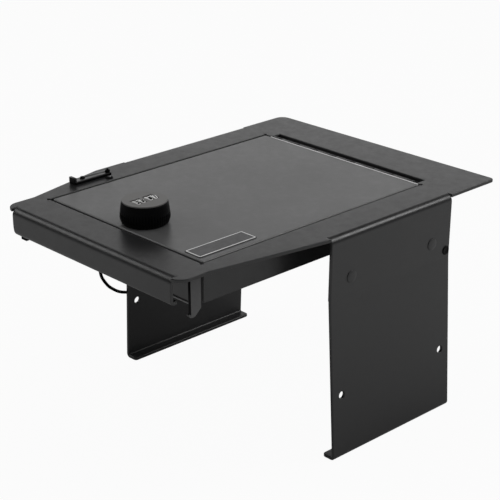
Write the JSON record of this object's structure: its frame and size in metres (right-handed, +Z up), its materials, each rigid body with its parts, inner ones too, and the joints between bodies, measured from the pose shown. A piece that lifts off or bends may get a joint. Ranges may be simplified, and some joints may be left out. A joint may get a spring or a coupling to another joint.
{
  "type": "console safe",
  "caption": "Folded steel console safe with a hinged lid, a combination knob over a turning latch and two side legs to bolt down",
  "frame": {"origin": "bottom centre of the bounding box, between the two feet", "axes": "+X to the right side, +Y back toward the hinge, +Z up from the feet to the lid"},
  "size_m": [0.2813, 0.355, 0.2243],
  "materials": {
    "frame_paint": "satin black powder coat on folded steel",
    "lid_paint": "satin black powder coat on folded steel",
    "zinc_steel": "zinc plated steel",
    "black_plastic": "semi gloss black moulded plastic",
    "wheel_plastic": "black wheels with plain pale numbers",
    "label_film": "bare dark grey film with a white border",
    "knob_disc": "dark grey face with fine ring marks",
    "black_rubber": "matt black rubber",
    "cable_jacket": "soft black cable jacket"
  },
  "bodies": {
    "frame": {"top_plate": "frame_paint", "front_apron": "frame_paint", "left_leg": "frame_paint", "right_leg": "frame_paint", "left_doubler": "frame_paint", "right_doubler": "frame_paint", "leg_rivets": "frame_paint", "rubber_plugs": "black_rubber", "skirt_front": "frame_paint", "skirt_rear": "frame_paint", "skirt_left": "frame_paint", "skirt_right": "frame_paint", "left_hook_tab": "frame_paint", "right_hook_tab": "frame_paint", "frame_hinge_leaf": "frame_paint", "hinge_pin": "zinc_steel", "left_lid_rest": "frame_paint", "right_lid_rest": "frame_paint", "lid_bumpers": "black_rubber", "strike_plate": "zinc_steel", "strike_screws": "zinc_steel", "rim_bracket": "black_plastic", "bracket_screw": "black_plastic", "contact_post": "black_plastic", "rim_grommet": "black_rubber", "skirt_grommet": "black_rubber", "cable_terminal": "zinc_steel", "cable": "cable_jacket"},
    "lid": {"lid_panel": "lid_paint", "lid_hinge_leaf": "lid_paint", "label_plate": "label_film", "lock_barrel": "zinc_steel", "lock_washer": "zinc_steel", "lock_nut": "zinc_steel"},
    "knob": {"knob_body": "black_plastic", "knob_face": "knob_disc", "wheel_axle": "zinc_steel", "spindle": "zinc_steel", "latch_arm": "zinc_steel", "arm_screw": "zinc_steel"},
    "wheel_1": {"number_wheel_1": "wheel_plastic"},
    "wheel_2": {"number_wheel_2": "wheel_plastic"},
    "wheel_3": {"number_wheel_3": "wheel_plastic"},
    "wheel_4": {"number_wheel_4": "wheel_plastic"}
  },
  "joints": [
    {"name": "lid_hinge", "type": "hinge", "parent": "frame", "child": "lid", "pos_m": [-0.001, 0.121, 0.2009], "axis": [-1, 0, 0], "range_deg": [0, 100]},
    {"name": "knob_turn", "type": "hinge", "parent": "lid", "child": "knob", "pos_m": [-0.001, -0.115, 0.2035], "axis": [0, 0, -1], "range_deg": [0, 90]},
    {"name": "wheel_1_turn", "type": "hinge", "parent": "knob", "child": "wheel_1", "pos_m": [-0.0005, -0.12459, 0.2167], "axis": [-0.0523, 0.9986, 0], "continuous": true},
    {"name": "wheel_2_turn", "type": "hinge", "parent": "knob", "child": "wheel_2", "pos_m": [-0.00078, -0.11909, 0.2167], "axis": [-0.0523, 0.9986, 0], "continuous": true},
    {"name": "wheel_3_turn", "type": "hinge", "parent": "knob", "child": "wheel_3", "pos_m": [-0.00121, -0.11091, 0.2167], "axis": [-0.0523, 0.9986, 0], "continuous": true},
    {"name": "wheel_4_turn", "type": "hinge", "parent": "knob", "child": "wheel_4", "pos_m": [-0.0015, -0.10541, 0.2167], "axis": [-0.0523, 0.9986, 0], "continuous": true}
  ]
}
